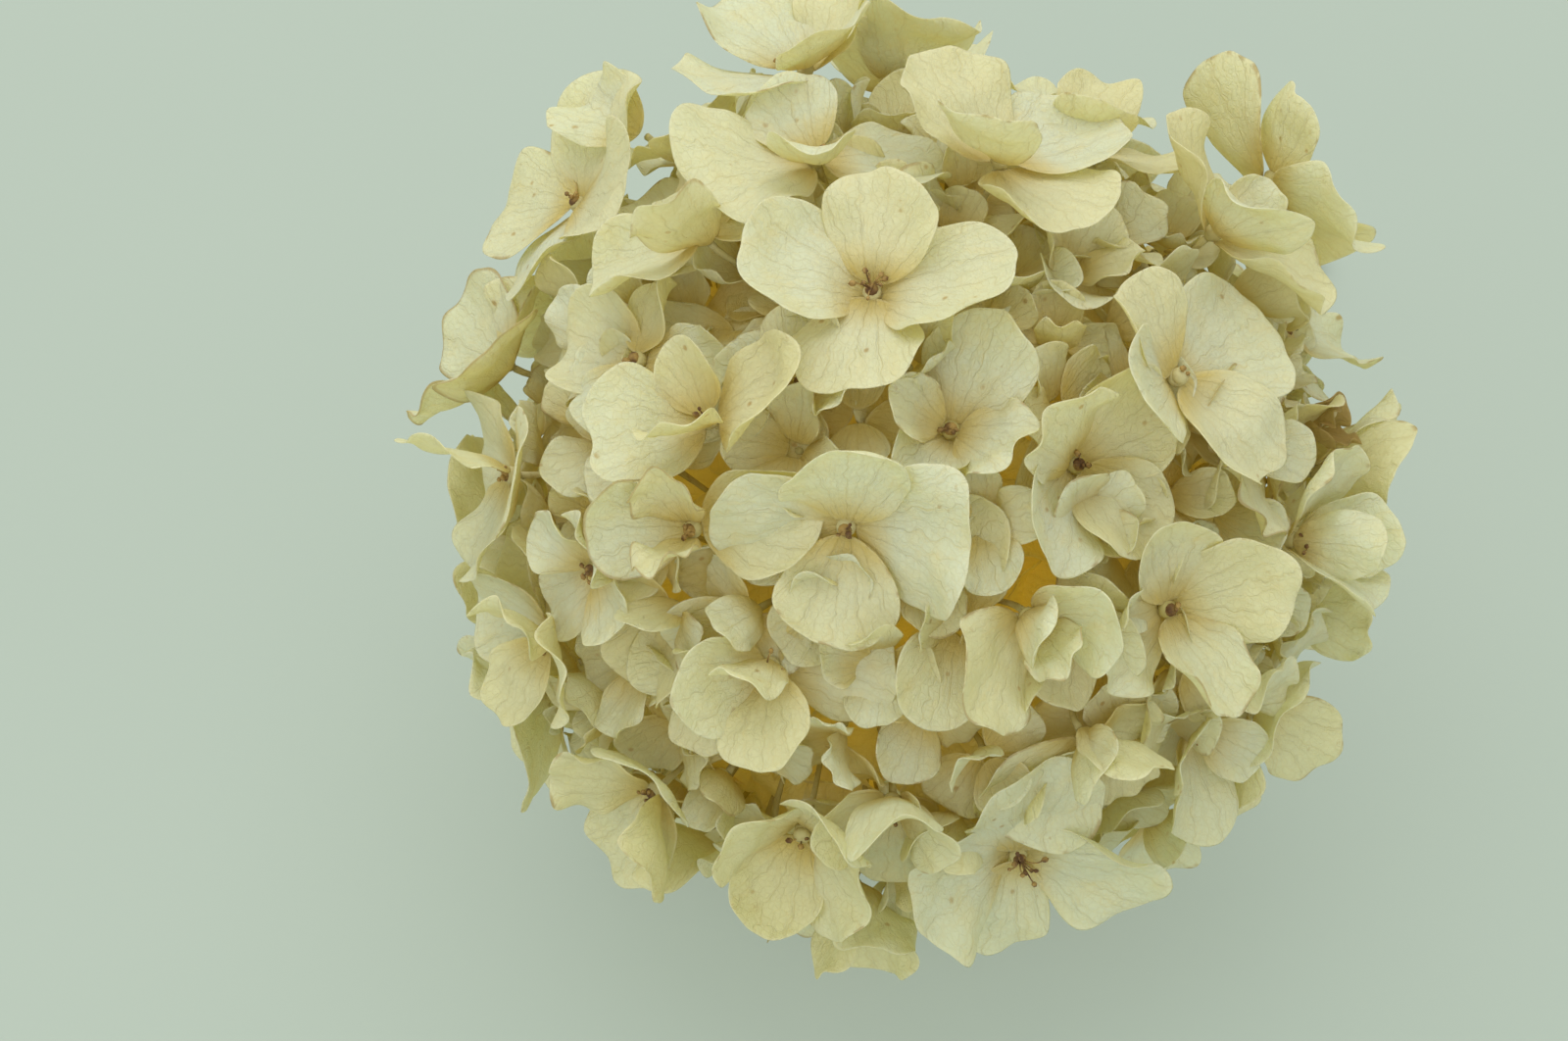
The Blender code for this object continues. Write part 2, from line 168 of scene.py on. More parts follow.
def head_middle():
    return Vector((0, 0, HEAD_HEIGHT / 2 + HEAD_CLEARANCE))


def crown_place():
    return head_middle() + Vector((0, CROWN_BACK, -CROWN_DROP))


class Floret:
    """One floret's place and shape, read from its row of the list."""

    def __init__(self, row):
        azimuth, elevation, proud, turn, span, lift, curl = row[:7]
        facing = row[7:] or (azimuth, elevation)
        out = direction(azimuth, elevation)
        half = Vector((HEAD_WIDTH, HEAD_LENGTH, HEAD_HEIGHT)) / 2
        reach = 1 / sqrt(sum((out[i] / half[i]) ** 2 for i in range(3)))
        self.hub = head_middle() + out * (reach + proud * MM)
        self.up = direction(*facing)
        level = Vector((cos(radians(facing[0])), sin(radians(facing[0])), 0))
        self.right = Matrix.Rotation(radians(turn), 3, self.up) @ level
        self.length = span * MM * FLORET_SIZE / 2 - HUB_RADIUS
        self.lift = lift
        self.curl = curl
        self.sepals = {}

    def axes(self, sepal):
        """The outward and sideways directions of one sepal."""
        outward = Matrix.Rotation(2 * pi * sepal / SEPALS, 3, self.up) @ self.right
        return outward, self.up.cross(outward)


def middle_line(length, lift, curl, along):
    """A point of a sepal's bent middle line, out and up from its root, and its tilt there."""
    start = radians(lift - curl / 2)
    tilt = start + radians(curl) * along
    if abs(curl) < 0.01:
        return length * along * cos(start), length * along * sin(start), tilt
    radius = length / radians(curl)
    return radius * (sin(tilt) - sin(start)), radius * (cos(start) - cos(tilt)), tilt


def sepal_section(floret, sepal, lift, reach, along, share, spare=0.0):
    """The six corners of one section of a sepal, as {(across, side): place}."""
    outward, across = floret.axes(sepal)
    length = floret.length * reach
    out, rise, tilt = middle_line(length, lift, floret.curl, along)
    level = HUB_HEIGHT / 4 * (1 if sepal % 2 else -1)
    middle = floret.hub + outward * (HUB_RADIUS + out) + floret.up * (level + rise)
    normal = floret.up * cos(tilt) - outward * sin(tilt)
    half = length * SEPAL_BREADTH / 2 * share * (1 - SEPAL_FOLD * sin(radians(lift)) ** 2)
    thick = SEPAL_THICKNESS / 2 + spare
    corners = {}
    for u in (-1, 0, 1):
        cup = normal * (SEPAL_CUP * half * abs(u))
        point = middle + across * (u * (half + spare)) + cup
        stand = normal * thick
        if point.z < SEPAL_THICKNESS / 2:
            point.z = SEPAL_THICKNESS / 2
            stand = Vector((0, 0, thick if normal.z > 0 else -thick))
        for side in (-1, 1):
            corners[u, side] = point + stand * side
    return corners


def lowest_of(floret, sepal, lift, reach):
    outward, across = floret.axes(sepal)
    out, rise, tilt = middle_line(floret.length * reach, lift, floret.curl, 1)
    return (floret.hub + outward * (HUB_RADIUS + out) + floret.up * rise).z


# ---- room: what a sepal may not touch ----

LOOP = ((-1, -1), (0, -1), (1, -1), (1, 1), (0, 1), (-1, 1))


def skin(rings):
    """A closed skin over rings of corners, as points and faces."""
    count = len(rings[0])
    points = [corner for ring in rings for corner in ring]
    faces = [tuple(range(count)), tuple(range(len(points) - count, len(points)))]
    for ring in range(len(rings) - 1):
        for i in range(count):
            j = (i + 1) % count
            low, high = ring * count, (ring + 1) * count
            faces.append((low + i, low + j, high + j, high + i))
    return BVHTree.FromPolygons(points, faces)


def sepal_skin(floret, sepal, lift, reach, spare):
    rings = []
    for along, share in (SEPAL_NECK,) + SEPAL_SECTIONS:
        extra = spare / 4 if along < 0.2 else spare
        corners = sepal_section(floret, sepal, lift, reach, along, share, extra)
        rings.append([corners[key] for key in LOOP])
    return skin(rings)


def square_ring(centre, axis, half, turn_to):
    side = axis.cross(turn_to).normalized()
    other = axis.cross(side).normalized()
    return [centre + side * (a * half) + other * (b * half) for a, b in ((-1, -1), (1, -1), (1, 1), (-1, 1))]


def tube_skin(points, half):
    rings = []
    for i, point in enumerate(points):
        before, after = points[max(i - 1, 0)], points[min(i + 1, len(points) - 1)]
        axis = (after - before).normalized()
        helper = Vector((0, 0, 1)) if abs(axis.z) < 0.9 else Vector((1, 0, 0))
        rings.append(square_ring(point, axis, half, helper))
    return skin(rings)


def openings():
    """Ways to swing and shorten a sepal, the smallest change first."""
    ways = []
    for reach in REACHES:
        for swing in SWINGS:
            ways.append((abs(swing) * SWING_COST + (1 - reach), swing, reach))
    return [way[1:] for way in sorted(ways)]


def settle_sepals(florets, stalks):
    """Opens each sepal as far as its neighbours leave room for it."""
    ways = openings()
    placed = list(stalks)
    for floret in florets:
        back = floret.hub - floret.up * HUB_HEIGHT / 2
        front = floret.hub + floret.up * HUB_HEIGHT / 2
        placed.append((floret.hub, HUB_RADIUS, floret, tube_skin([back, front], HUB_RADIUS + GAP)))
    for floret in florets:
        near = [tree for centre, size, owner, tree in placed
                if owner is not floret and (centre - floret.hub).length < size + floret.length * SPREAD]
        sisters = []
        for sepal in (0, 2, 1, 3):
            chosen = None
            for swing, reach in ways:
                lift = floret.lift + swing
                if not LOWEST_LIFT <= lift <= HIGHEST_LIFT:
                    continue
                if lowest_of(floret, sepal, lift, reach) < -LOWEST_REACH:
                    continue
                close = sepal_skin(floret, sepal, lift, reach, GAP)
                if any(close.overlap(tree) for tree in near):
                    continue
                if any(close.overlap(tree) for tree in sisters):
                    continue
                chosen = lift, reach
                break
            if chosen is None:
                chosen = floret.lift, STUNTED
            floret.sepals[sepal] = chosen
            sisters.append(sepal_skin(floret, sepal, *chosen, GAP / 2))
        for tree in sisters:
            placed.append((floret.hub, floret.length * SPREAD, floret, tree))


def forks():
    return [crown_place() + direction(azimuth, elevation) * length for azimuth, elevation, length in RAYS]


def pedicel_points(fork, floret):
    """From the middle of a fork to just behind a floret's hub."""
    end = floret.hub - floret.up * (HUB_HEIGHT / 2 + GAP)
    bend = end - floret.up * PEDICEL_BEND
    return [fork, bend, end]


def stem_points():
    """The stem's middle line, from the crown down to the cut end on the table."""
    crown = crown_place()
    drop = crown.z - STEM_DIAMETER / 2
    run = sqrt(STEM_LENGTH ** 2 - drop ** 2)
    sway = radians(STEM_SWAY)
    end = Vector((crown.x + run * sin(sway), crown.y + run * cos(sway), STEM_DIAMETER / 2))
    points = []
    for i in range(STEM_SECTIONS + 1):
        along = i / STEM_SECTIONS
        bow = Vector((0, 0, -STEM_BOW * 4 * along * (1 - along)))
        points.append(crown.lerp(end, along) + bow)
    return points


# ---- reading the solids ----

END_REACH = STEM_DIAMETER * 1.3
CLOSE_ENOUGH = 0.1 * MM


def node_points(name):
    return [vert.co.copy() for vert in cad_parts[name].data.vertices]


def find_shift():
    """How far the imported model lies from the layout's own axes, read at the stem's cut end."""
    points = node_points("stem")
    far = max(points, key=lambda point: point.y)
    ring = {tuple(round(c, 6) for c in point) for point in points if (point - far).length < END_REACH}
    middle = sum((Vector(point) for point in ring), Vector()) / len(ring)
    shift = middle - stem_points()[-1]
    return Vector((shift.x, shift.y, 0))


SHIFT = find_shift()
MIDDLE = head_middle() + SHIFT


def read_sepals(floret, name):
    """Finds how far each sepal of a solid is lifted and shortened, from its tip corners."""
    points = node_points(name)
    tree = kdtree.KDTree(len(points))
    for i, point in enumerate(points):
        tree.insert(point - SHIFT, i)
    tree.balance()
    along, share = SEPAL_SECTIONS[-1]
    ways = openings() + [(0, STUNTED)]
    for sepal in range(SEPALS):
        def miss(way):
            corners = sepal_section(floret, sepal, floret.lift + way[0], way[1], along, share)
            return max(tree.find(corner)[2] for corner in corners.values())
        best = min(ways, key=miss)
        if miss(best) > CLOSE_ENOUGH:
            raise RuntimeError(f"{name}: sepal {sepal} isn't where the layout says")
        floret.sepals[sepal] = floret.lift + best[0], best[1]


def node_tree(name):
    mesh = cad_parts[name].data
    return BVHTree.FromPolygons([vert.co - SHIFT for vert in mesh.vertices],
                                [tuple(face.vertices) for face in mesh.polygons])


# ---- materials ----


class Value:
    """A node socket that Python's operators work on."""

    def __init__(self, shade, socket):
        self.shade = shade
        self.socket = socket

    def math(self, operation, *others, clamp=False):
        return self.shade.math(operation, self, *others, clamp=clamp)

    def __add__(self, other):
        return self.math("ADD", other)

    def __radd__(self, other):
        return self.math("ADD", other)

    def __sub__(self, other):
        return self.math("SUBTRACT", other)

    def __rsub__(self, other):
        return self.shade.math("SUBTRACT", other, self)

    def __mul__(self, other):
        return self.math("MULTIPLY", other)

    def __rmul__(self, other):
        return self.math("MULTIPLY", other)

    def __truediv__(self, other):
        return self.math("DIVIDE", other)

    def __pow__(self, other):
        return self.math("POWER", other)

    def step(self, low, high):
        """0 under low and 1 over high, with a soft passage between them."""
        return self.shade.node("MapRange", {"interpolation_type": "SMOOTHSTEP"},
                               {"Value": self, "From Min": low, "From Max": high})


class Shade:
    """A material's nodes, one call for each."""

    def __init__(self, name):
        self.material = bpy.data.materials.new(name)
        self.material.use_nodes = True
        self.tree = self.material.node_tree
        self.tree.nodes.clear()

    def feed(self, socket, value):
        if isinstance(value, Value):
            self.tree.links.new(value.socket, socket)
        else:
            socket.default_value = value

    def node(self, kind, settings=None, inputs=None, output=0):
        made = self.tree.nodes.new("ShaderNode" + kind)
        for key, value in (settings or {}).items():
            setattr(made, key, value)
        for key, value in (inputs or {}).items():
            self.feed(made.inputs[key], value)
        return Value(self, made.outputs[output])

    def math(self, operation, *values, clamp=False):
        return self.node("Math", {"operation": operation, "use_clamp": clamp}, dict(enumerate(values)))

    def mix(self, factor, first, second):
        """A colour between two, (r, g, b) or a link each."""
        first, second = [c if isinstance(c, Value) else (*c, 1) for c in (first, second)]
        return self.node("Mix", {"data_type": "RGBA"}, {0: factor, 6: first, 7: second}, output=2)

    def noise(self, vector, scale, detail=3, roughness=0.5):
        return self.node("TexNoise", None, {"Vector": vector, "Scale": scale, "Detail": detail,
                                            "Roughness": roughness})

    def cells(self, vector, scale):
        """Distance to the nearest edge between the cells of a net."""
        return self.node("TexVoronoi", {"feature": "DISTANCE_TO_EDGE"}, {"Vector": vector, "Scale": scale})

    def dots(self, vector, scale):
        return self.node("TexVoronoi", None, {"Vector": vector, "Scale": scale})

    def attribute(self, name):
        """The three numbers of a mesh attribute."""
        split = self.tree.nodes.new("ShaderNodeSeparateXYZ")
        self.feed(split.inputs[0], self.node("Attribute", {"attribute_name": name}, output=1))
        return [Value(self, socket) for socket in split.outputs]

    def place(self):
        return self.node("TexCoord", output=3)

    def bump(self, height, distance, strength=1.0):
        return self.node("Bump", None, {"Height": height, "Distance": distance, "Strength": strength})

    def principled(self, colour, roughness, normal=None, **constants):
        inputs = {"Base Color": colour, "Roughness": roughness}
        if normal is not None:
            inputs["Normal"] = normal
        inputs.update({key.replace("_", " "): value for key, value in constants.items()})
        return self.node("BsdfPrincipled", None, inputs)

    def finish(self, surface):
        output = self.tree.nodes.new("ShaderNodeOutputMaterial")
        self.feed(output.inputs["Surface"], surface)
        return self.material


def sepal_finish():
    """Thin dry sepal: cream, ochre at the root, with a fan of veins; deeper in the head it turns ochre,
    partly its own tone and partly painted warm light, and it carries a painted glow.
    """
    shade = Shade("dried_sepal")
    across, along, rim = shade.attribute("leaf")
    age, depth, seed = shade.attribute("tone")
    spot = shade.node("CombineXYZ", None, {0: across, 1: along, 2: seed * 40})
    drift = shade.noise(spot, 0.35, 2) - 0.5
    fan = across.math("ARCTAN2", along + 2.5)
    run = (across * across + along * along).math("SQRT")
    coarse = 1 - (fan * 11 + drift * 2.4).math("SINE").math("ABSOLUTE").step(0.0, 0.16)
    fine = 1 - (fan * 25 + drift * 5).math("SINE").math("ABSOLUTE").step(0.0, 0.25)
    net = 1 - shade.cells(spot, 0.85).step(0.0, 0.12)
    veins = (coarse * 0.8).math("MAXIMUM", fine * 0.5 * along.step(3, 9)).math("MAXIMUM", net * 0.35)
    fibre_place = shade.node("CombineXYZ", None, {0: fan * 16 + drift * 3, 1: run * 0.16, 2: seed * 40})
    fibre = shade.noise(fibre_place, 1.3, 5, 0.62)
    root = (1 - along.step(0.2, 8.0)) * (0.55 + fibre * 0.9)
    mottle = shade.noise(spot, 0.22, 4, 0.6)

    colour = shade.mix(age, (0.83, 0.90, 0.78), (0.86, 0.86, 0.60))
    colour = shade.mix(mottle.step(0.42, 0.7) * 0.45, colour, (0.88, 0.85, 0.58))
    colour = shade.mix(fibre.step(0.5, 0.75) * 0.35, colour, (0.86, 0.76, 0.42))
    # Deeper in the head: ochre that is partly the sepals' own warmer tone and partly painted warm light that
    # has passed through other sepals.
    colour = shade.mix(depth.step(0.0, 1.0) * 0.85, colour, (0.96, 0.82, 0.27))
    colour = shade.mix(veins * 0.30, colour, (0.66, 0.50, 0.17))
    colour = shade.mix(root.math("MINIMUM", 1) * 0.75, colour, (0.74, 0.55, 0.10))
    edge = rim.step(0.93, 1.0)
    colour = shade.mix(edge * 0.25, colour, (0.95, 0.93, 0.74))
    browning = edge * (shade.noise(spot, 0.3, 2) + seed * 0.6 - 0.6).step(0.44, 0.56)
    colour = shade.mix(browning * 0.6, colour, (0.36, 0.20, 0.05))
    specks = 1 - shade.dots(spot, 0.21).step(0.05, 0.14)
    specks = specks * shade.noise(spot, 0.12, 1).step(0.52, 0.6)
    smudge = shade.noise(spot, 0.55, 3, 0.7).step(0.66, 0.76) * shade.noise(spot, 0.1, 1).step(0.5, 0.62)
    colour = shade.mix(specks.math("MAXIMUM", smudge * 0.6) * 0.7, colour, (0.45, 0.25, 0.05))
    colour = shade.mix(age.step(1.2, 1.8) * 0.85, colour, (0.34, 0.19, 0.05))

    crinkle = shade.noise(spot, 0.9, 4, 0.6)
    wave = shade.noise(spot, 0.28, 2)
    height = crinkle * 0.4 + wave * 0.9 + fibre * 0.55 - veins * 0.25
    normal = shade.bump(height, 0.6 * MM, 0.85)
    # Painted glow: a warm emission on every sepal, stronger deeper in the head, standing for light that
    # passes through many sepals.
    painted_inner_glow = shade.mix(depth.step(0.1, 1.0), (0.012, 0.010, 0.003), (0.13, 0.10, 0.012))
    body = shade.principled(colour, 0.62 + mottle * 0.2, normal, Specular_IOR_Level=0.25,
                            Emission_Color=painted_inner_glow, Emission_Strength=1.0)
    glow = shade.node("BsdfTranslucent", None, {"Color": (0.99, 0.91, 0.47, 1), "Normal": normal})
    return shade.finish(shade.node("MixShader", None, {0: 0.42 + depth * 0.16, 1: body, 2: glow}))


def stalk_finish():
    """Dry ochre pedicel, greener and browner by turns along its length."""
    shade = Shade("dried_pedicel")
    place = shade.place()
    patch = shade.noise(place, 60, 3)
    grain = shade.noise(place, 900, 4)
    colour = shade.mix(patch.step(0.35, 0.65), (0.50, 0.43, 0.15), (0.58, 0.52, 0.26))
    colour = shade.mix(grain.step(0.5, 0.8) * 0.6, colour, (0.30, 0.20, 0.07))
    return shade.finish(shade.principled(colour, 0.6 + grain * 0.2, shade.bump(grain, 0.15 * MM)))


def eye_finish():
    """Shrivelled stamens and buds, dark brown with ochre ends."""
    shade = Shade("withered_eye")
    place = shade.place()
    patch = shade.noise(place, 420, 3)
    colour = shade.mix(patch.step(0.38, 0.62), (0.13, 0.06, 0.02), (0.42, 0.27, 0.08))
    return shade.finish(shade.principled(colour, 0.7 + patch * 0.2, shade.bump(patch, 0.2 * MM)))


def bark_finish():
    """Brown stem with lengthwise fibres, pale lenticels and darker scars."""
    shade = Shade("stem_bark")
    side, along, rise = shade.attribute("leaf")
    fibre = shade.node("CombineXYZ", None, {0: side, 1: along * 0.09, 2: rise})
    grain = shade.noise(fibre, 2.2, 5, 0.6)
    pores = shade.node("CombineXYZ", None, {0: side, 1: along * 0.45, 2: rise})
    pore = 1 - shade.dots(pores, 0.75).step(0.16, 0.30)
    patch = shade.noise(shade.place(), 45, 3)
    colour = shade.mix(grain.step(0.35, 0.65), (0.16, 0.105, 0.05), (0.40, 0.32, 0.17))
    colour = shade.mix(patch.step(0.45, 0.7) * 0.5, colour, (0.34, 0.30, 0.14))
    colour = shade.mix(pore * 0.5, colour, (0.58, 0.48, 0.32))
    normal = shade.bump(grain * 0.8 + pore * 0.5, 0.35 * MM)
    return shade.finish(shade.principled(colour, 0.65 + grain * 0.2, normal))


def cut_finish():
    """The cut end: a dark rim, pale wood with rays, and a soft white pith."""
    shade = Shade("stem_cut")
    rim = shade.attribute("leaf")[2]
    grain = shade.noise(shade.place(), 1800, 4)
    colour = shade.mix(rim.step(0.40, 0.46), (0.72, 0.66, 0.50), (0.55, 0.38, 0.18))
    colour = shade.mix(rim.step(0.84, 0.92), colour, (0.20, 0.11, 0.05))
    colour = shade.mix(grain.step(0.4, 0.75) * 0.5, colour, (0.30, 0.19, 0.09))
    return shade.finish(shade.principled(colour, 0.8, shade.bump(grain, 0.3 * MM)))


def floor_finish():
    shade = Shade("pale_table")
    haze = shade.noise(shade.place(), 3, 3)
    colour = shade.mix(haze.step(0.3, 0.7), (0.225, 0.258, 0.225), (0.237, 0.27, 0.236))
    return shade.finish(shade.principled(colour, 0.95, Specular_IOR_Level=0.0, Emission_Strength=1.0,
                                         Emission_Color=(0.252, 0.30, 0.252, 1)))


# ---- meshes ----

SEPAL_WALL = 0.26 * MM
GRID = 11
INNER_GRID = 6
DEEP_GRID = 8
TABLE_SKIN = 0.25 * MM

# How a sepal's surface is shaped: narrower at the root, crumpled, with a crease along its middle.
STEEPEST_LIFT = 78
ROOT_NARROWING = 0.34
NOTCH_WIDTH = 0.25
CRUMPLE_SIZE = 8 * MM
FINE_CRUMPLE = 0.5 * MM
CREASE_DEPTH = 0.35 * MM
CREASE_WIDTH = 1.1 * MM
# Depth also sets how much painted glow and how much of the partly painted ochre a sepal gets.
DEPTH_GAIN = 3.2  # how soon sepals look deep, going in from the head's surface


def new_bmesh():
    """An empty bmesh with the two attributes that the finishes read."""
    bm = bmesh.new()
    return bm, bm.verts.layers.float_vector.new("leaf"), bm.verts.layers.float_vector.new("tone")


def piece(bm, name, materials, replaces=(), subdivide=0, wall=0.0, smooth=True):
    """Names a finished bmesh, moves it from the layout's axes to the frame's, and rides it."""
    bmesh.ops.translate(bm, verts=bm.verts, vec=SHIFT)
    mesh = bpy.data.meshes.new(name)
    bm.to_mesh(mesh)
    bm.free()
    for material in materials:
        mesh.materials.append(material)
    if smooth:
        mesh.shade_smooth()
    made = bpy.data.objects.new(name, mesh)
    bpy.context.scene.collection.objects.link(made)
    if wall:
        solid = made.modifiers.new("wall", "SOLIDIFY")
        solid.thickness = wall
        solid.offset = 0
    if subdivide:
        soft = made.modifiers.new("soft", "SUBSURF")
        soft.levels = subdivide
        soft.render_levels = subdivide
    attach(made, BODY)
    if replaces:
        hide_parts(*replaces)


class Habit:
    """How one sepal differs from its neighbours."""

    def __init__(self, rng, upper, broad):
        calm = 1.0 if upper else 0.6
        self.bend = rng.uniform(-0.1, 1.3) * calm
        if rng.random() < 0.12:
            self.bend += 0.7 * calm
        self.ruffle = rng.uniform(0.25, 1.5) * MM
        self.waves = rng.choice((3, 4, 5, 6, 7))
        self.phase = rng.uniform(0, 2 * pi)
        self.crumple = rng.uniform(1.0, 3.2) * MM
        self.twist = rng.uniform(-0.55, 0.55)
        self.fold = rng.uniform(-0.4, 1.6) * MM
        self.notch = rng.choice((0, 0, 0.04, 0.07, -0.05, -0.03))
        self.breadth = rng.uniform(0.9, 1.1)
        self.stretch = rng.uniform(0.88, 1.04) if broad else rng.uniform(0.74, 0.98)
        self.tip = rng.uniform(-24, 34)
        self.skew = rng.uniform(-0.1, 0.1)
        self.yaw = rng.uniform(-13, 13)
        self.heave = rng.uniform(-12, 24) * calm
        self.seed = rng.random()
        self.age = rng.random() ** 1.6


def outline_place(a, b, habit):
    """Where a point of a square grid lands in a sepal's round outline.

    Returns how far across and along it lies, how near the rim, and at what angle.
    """
    x, y = a * sqrt(1 - b * b / 2), b * sqrt(1 - a * a / 2)
    rim = min(1.0, sqrt(x * x + y * y))
    angle = atan2(y, x)
    along = (y + 1) / 2
    ring = Vector((cos(angle), sin(angle), habit.seed * 50))
    wobble = 1 + rim ** 2 * (0.07 * noise.noise(ring * 1.5) + 0.03 * noise.noise(ring * 4.5))
    along = along * wobble - habit.notch * exp(-(x / NOTCH_WIDTH) ** 2) * along ** 5
    across = x * (1 - ROOT_NARROWING * (1 - along) ** 2) * wobble + habit.skew * along * (1 - along)
    return across, along, rim, angle


def side_and_stand(place, half, length, habit):
    """How far a sepal's point lies to the side, and how far it stands off the middle line."""
    across, along, rim, angle = place
    bend = habit.bend * (0.35 + 0.65 * along)
    side, lean = half * across, 0.0
    if abs(bend) > 0.02:
        side, lean = half / bend * sin(bend * across), half / bend * (1 - cos(bend * across))
    free = min(1.0, along * 2.2)
    ruffle = habit.ruffle * rim ** 4 * sin(habit.waves * angle + habit.phase) * free
    where = Vector((half * across, length * along, 0)) / CRUMPLE_SIZE
    where.z = habit.seed * 90
    crumple = habit.crumple * noise.noise(where) * free + FINE_CRUMPLE * noise.noise(where * 3) * free
    crease = -CREASE_DEPTH * exp(-(half * across / CREASE_WIDTH) ** 2) * (1 - along)
    crease += habit.fold * abs(across) * along + side * sin(habit.twist * along)
    return side, lean + ruffle + crumple + crease


def depth_inside(point):
    """How deep in the head a point lies: 0 at its surface, 1 from about a third of the way in."""
    offset = point - head_middle()
    spread = Vector((HEAD_WIDTH, HEAD_LENGTH, HEAD_HEIGHT)) / 2
    inside = 1 - sqrt(sum((offset[i] / spread[i]) ** 2 for i in range(3)))
    return max(0.0, min(1.0, inside * DEPTH_GAIN))


def grow_sepal(bm, leaf, tone, floret, sepal, habit, grid):
    """Adds one sepal: a square grid drawn into a round outline, then bent, cupped and crumpled."""
    lift, reach = floret.sepals[sepal]
    yaw = Matrix.Rotation(radians(habit.yaw), 3, floret.up)
    outward, sideways = [yaw @ axis for axis in floret.axes(sepal)]
    lift = min(STEEPEST_LIFT, lift + habit.heave)
    length = floret.length * reach * habit.stretch
    half = length * SEPAL_BREADTH / 2 * habit.breadth * (1 - SEPAL_FOLD * sin(radians(lift)) ** 2)
    level = HUB_HEIGHT / 4 * (1 if sepal % 2 else -1)
    for vert in bmesh.ops.create_grid(bm, x_segments=grid, y_segments=grid, size=1)["verts"]:
        place = outline_place(vert.co.x, vert.co.y, habit)
        across, along, rim, angle = place
        out, rise, tilt = middle_line(length, lift, floret.curl + habit.tip * along, along)
        normal = floret.up * cos(tilt) - outward * sin(tilt)
        side, stand = side_and_stand(place, half, length, habit)
        point = floret.hub + outward * (HUB_RADIUS * 0.6 + out) + floret.up * (level + rise)
        point += sideways * side + normal * stand
        point.z = max(point.z, TABLE_SKIN)
        vert.co = point
        vert[leaf] = Vector((half * across / MM, length * along / MM, rim))
        vert[tone] = Vector((habit.age, depth_inside(point), habit.seed))


def tube(bm, points, radii, sides, leaf=None, ridges=0.0, material=0):
    """A closed round bar along points, with a radius at each: a grid rolled up, welded and capped."""
    last = len(points) - 1
    made = bmesh.ops.create_grid(bm, x_segments=sides, y_segments=last, size=1)["verts"]
    length = [0.0]
    for i in range(last):
        length.append(length[-1] + (points[i + 1] - points[i]).length)
    for vert in made:
        angle = pi * (vert.co.x + 1)
        i = round((vert.co.y + 1) / 2 * last)
        axis = (points[min(i + 1, last)] - points[max(i - 1, 0)]).normalized()
        turn = Vector((0, 1, 0)).rotation_difference(axis).to_matrix()
        radius = radii[i] * (1 + ridges * sin(5 * angle))
        spoke = Vector((cos(angle), 0, sin(angle))) * radius
        vert.co = points[i] + turn @ spoke
        if leaf is not None:
            vert[leaf] = Vector((spoke.x, length[i], spoke.z)) / MM
    bmesh.ops.remove_doubles(bm, verts=made, dist=0.002 * MM)
    made = [vert for vert in made if vert.is_valid]
    rims = {edge for vert in made for edge in vert.link_edges if edge.is_boundary}
    bmesh.ops.holes_fill(bm, edges=list(rims), sides=0)
    faces = {face for vert in made for face in vert.link_faces}
    bmesh.ops.recalc_face_normals(bm, faces=list(faces))
    for face in faces:
        face.material_index = material


def ball(bm, centre, radius, detail, material=0, flat=1.0, axis=None):
    made = bmesh.ops.create_icosphere(bm, subdivisions=detail, radius=radius)["verts"]
    turn = Vector((0, 0, 1)).rotation_difference(axis or Vector((0, 0, 1))).to_matrix()
    for vert in made:
        vert.co = centre + turn @ Vector((vert.co.x, vert.co.y, vert.co.z * flat))
    for face in {face for vert in made for face in vert.link_faces}:
        face.material_index = material


def curve_points(points, count):
    """A smooth line through the bend of three points."""
    start, bend, end = points
    return [start.lerp(bend, t).lerp(bend.lerp(end, t), t) for t in [i / (count - 1) for i in range(count)]]


# ---- florets ----

CREAM = sepal_finish()
OCHRE = stalk_finish()
WITHERED = eye_finish()
BARK = bark_finish()
CUT = cut_finish()

LEAST_REACH = 0.78
VISIBLE_REACH = 1.04
LEAN = 10
TIRED = {9: 0.9, 25: 0.7, 31: 0.5, 20: 0.4}
BUDDED = (1, 12)
BEARDED = (2, 3, 5, 10, 15, 26, 28, 37)

# Stamens in a floret's eye, and the share of their full length.
STAMENS = {"bud": (3, 0.55), "beard": (9, 1.15), "plain": (4, 0.55)}
STAMEN_RADII = (0.17 * MM, 0.15 * MM, 0.13 * MM, 0.12 * MM, 0.1 * MM)
# The receptacle's outline: height as a share of the hub's, and radius in millimetres.
RECEPTACLE = ((-0.1, 0.5), (0.1, 1.0), (0.4, 1.5), (0.7, 1.5), (0.95, 1.0), (1.0, 0.3))

# Layers of inner florets: how many are tried, how proud of the ellipsoid in millimetres, how far
# apart in millimetres, and the spans. Those deeper than DEEP are left coarse.
INNER_LAYERS = ((300, -3.5, 8.6, (27, 35)), (130, -13, 10, (30, 38)), (80, -24, 12, (30, 38)))
DEEP = -9
GOLDEN_TURN = 137.508
COVERED_HEIGHT = 1.78
STEM_OPENING = 34
STRAY = 16


